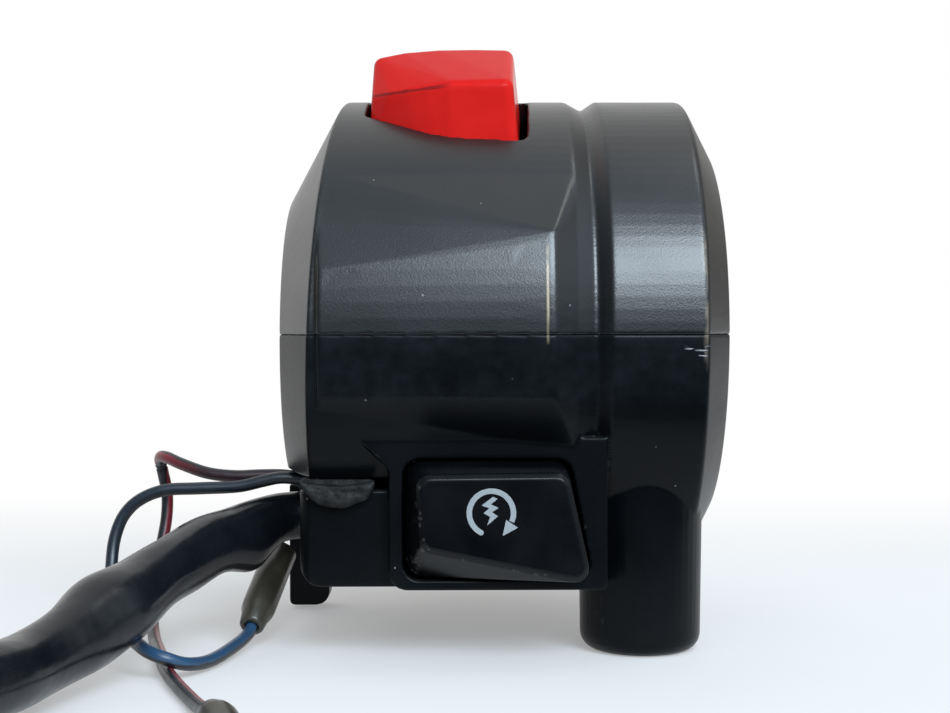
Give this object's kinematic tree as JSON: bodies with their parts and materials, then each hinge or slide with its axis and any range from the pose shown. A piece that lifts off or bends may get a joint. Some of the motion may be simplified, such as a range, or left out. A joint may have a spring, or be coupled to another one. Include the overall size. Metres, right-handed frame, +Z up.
{
  "type": "handlebar switch cluster",
  "caption": "Two-piece handlebar switch housing with a rocking engine-stop switch, a push starter button, a throttle chamber with cable boss, and its wiring harness.",
  "frame": {"origin": "centre of the handlebar clamp bore, on the bar's axis and midway between the two clamp seats", "axes": "+X along the bar towards the grip, +Y away from the rider's view, +Z up"},
  "size_m": [0.1552, 0.1168, 0.0673],
  "materials": {
    "case_black": "satin, fine grain",
    "screw_steel": "zinc plated",
    "rocker_red": "gloss, scratched",
    "inner_white": "smooth",
    "spring_steel": "drawn wire",
    "contact_brass": "stamped",
    "base_brown": "moulded resin",
    "button_black": "semi-gloss",
    "wire_black": "smooth insulation",
    "grommet_rubber": "rough, dusty",
    "sleeve_black": "smooth vinyl",
    "tie_white": "smooth",
    "plug_ivory": "satin",
    "wire_blue": "black insulation with a blue stripe",
    "wire_red": "black insulation with a red stripe",
    "bullet_sleeve": "translucent vinyl"
  },
  "bodies": {
    "case": {"upper_case": "case_black", "lower_case": "case_black", "case_screws": "screw_steel", "stop_contact_base": "base_brown", "stop_fixed_contacts": "contact_brass", "stop_base_screws": "screw_steel", "starter_contact_base": "base_brown", "starter_fixed_contacts": "contact_brass", "starter_base_screws": "screw_steel", "stop_leads": "wire_black", "starter_leads": "wire_black", "harness_grommet": "grommet_rubber", "harness": "sleeve_black", "harness_coil": "sleeve_black", "harness_tie": "tie_white", "harness_plug": "plug_ivory", "plug_terminals": "contact_brass", "brake_wire_blue": "wire_blue", "brake_wire_red": "wire_red", "blue_wire_sleeve": "bullet_sleeve", "red_wire_sleeve": "bullet_sleeve", "blue_wire_bullet": "contact_brass", "red_wire_bullet": "contact_brass"},
    "stop_rocker": {"stop_rocker": "rocker_red", "stop_plunger": "inner_white", "stop_spring": "spring_steel"},
    "stop_contact_blade": {"stop_contact_blade": "contact_brass"},
    "starter_button": {"starter_button": "button_black", "starter_contact_plate": "contact_brass", "starter_spring": "spring_steel"}
  },
  "joints": [
    {"name": "stop_rocker_hinge", "type": "hinge", "parent": "case", "child": "stop_rocker", "pos_m": [0.00155, -0.00649, 0.01997], "axis": [0, 0.9511, 0.309], "range_deg": [0, 8]},
    {"name": "stop_blade_hinge", "type": "hinge", "parent": "case", "child": "stop_contact_blade", "pos_m": [0.00155, -0.00498, 0.01531], "axis": [0, 0.9511, 0.309], "range_deg": [-8, 0]},
    {"name": "starter_push", "type": "slide", "parent": "case", "child": "starter_button", "axis": [0, 1, 0], "range_m": [0, 0.003], "stiffness_N_per_m": 800, "springref_m": -0.003, "deforming": ["starter_spring"]}
  ],
  "couplings": [
    {"joint": "stop_blade_hinge", "follows": "stop_rocker_hinge", "ratio": -1}
  ]
}
